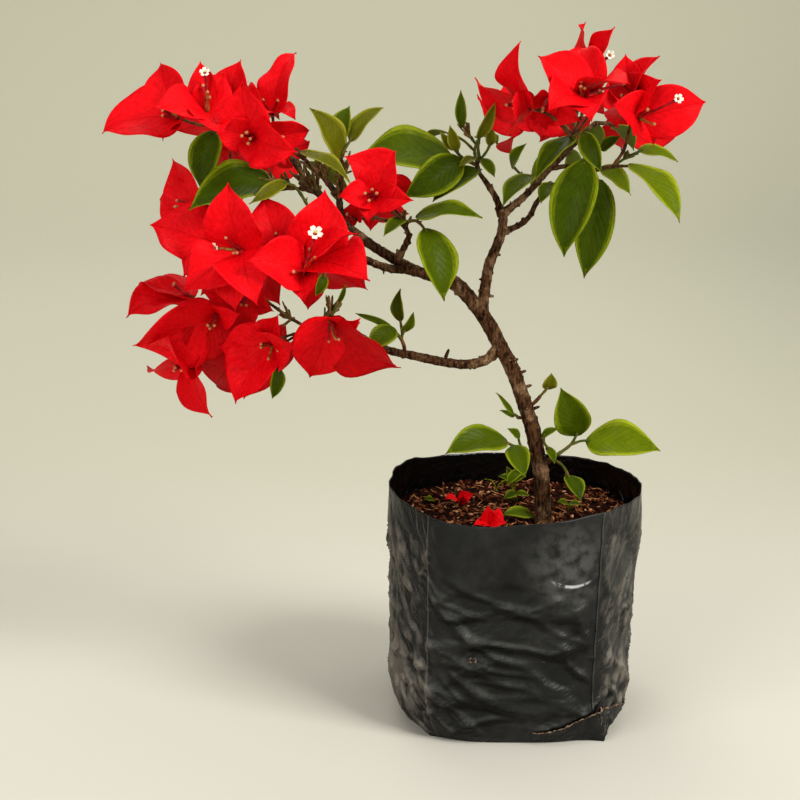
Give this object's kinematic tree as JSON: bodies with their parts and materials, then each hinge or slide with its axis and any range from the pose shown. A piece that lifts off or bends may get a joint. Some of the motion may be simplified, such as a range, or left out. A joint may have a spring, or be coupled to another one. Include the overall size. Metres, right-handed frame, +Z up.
{
  "type": "potted bougainvillea bush",
  "caption": "Young bougainvillea with a leaning trunk, forked boughs and papery red blooms, standing in a black nursery bag filled with coir compost.",
  "frame": {"origin": "on the bag's flat underside, near its middle, where it meets the floor", "axes": "+Z up, +X to the right as the crown is seen from its front, +Y to the back, in metres"},
  "size_m": [0.3169, 0.1531, 0.3756],
  "materials": {
    "film": "crumpled black polythene film, satin to glossy, dusty in places",
    "compost": "damp red-brown coir chips and fibres",
    "bark": "rough brown bark with rings and pale pores",
    "bract": "papery bright red bracts with fine veins",
    "leaf": "satin green leaves with paler veins and edges"
  },
  "bodies": {
    "root": {"bag": "film", "compost": "compost", "trunk": "bark", "bough_left": "bark", "bough_left_front": "bark", "bough_centre": "bark", "bough_lower": "bark", "bough_right": "bark", "bough_right_inner": "bark", "bough_right_outer": "bark", "bough_right_low": "bark", "crown_left_front": "bract", "crown_top_left": "bract", "crown_low_left": "bract", "crown_centre": "bract", "crown_right": "bract", "crown_upper_middle": "leaf", "crown_right_low": "leaf", "shoot_lower_bough": "leaf", "shoot_base_left": "leaf", "shoot_base_right": "leaf", "shoot_trunk_left": "leaf", "shoot_trunk_right": "leaf"}
  },
  "joints": []
}
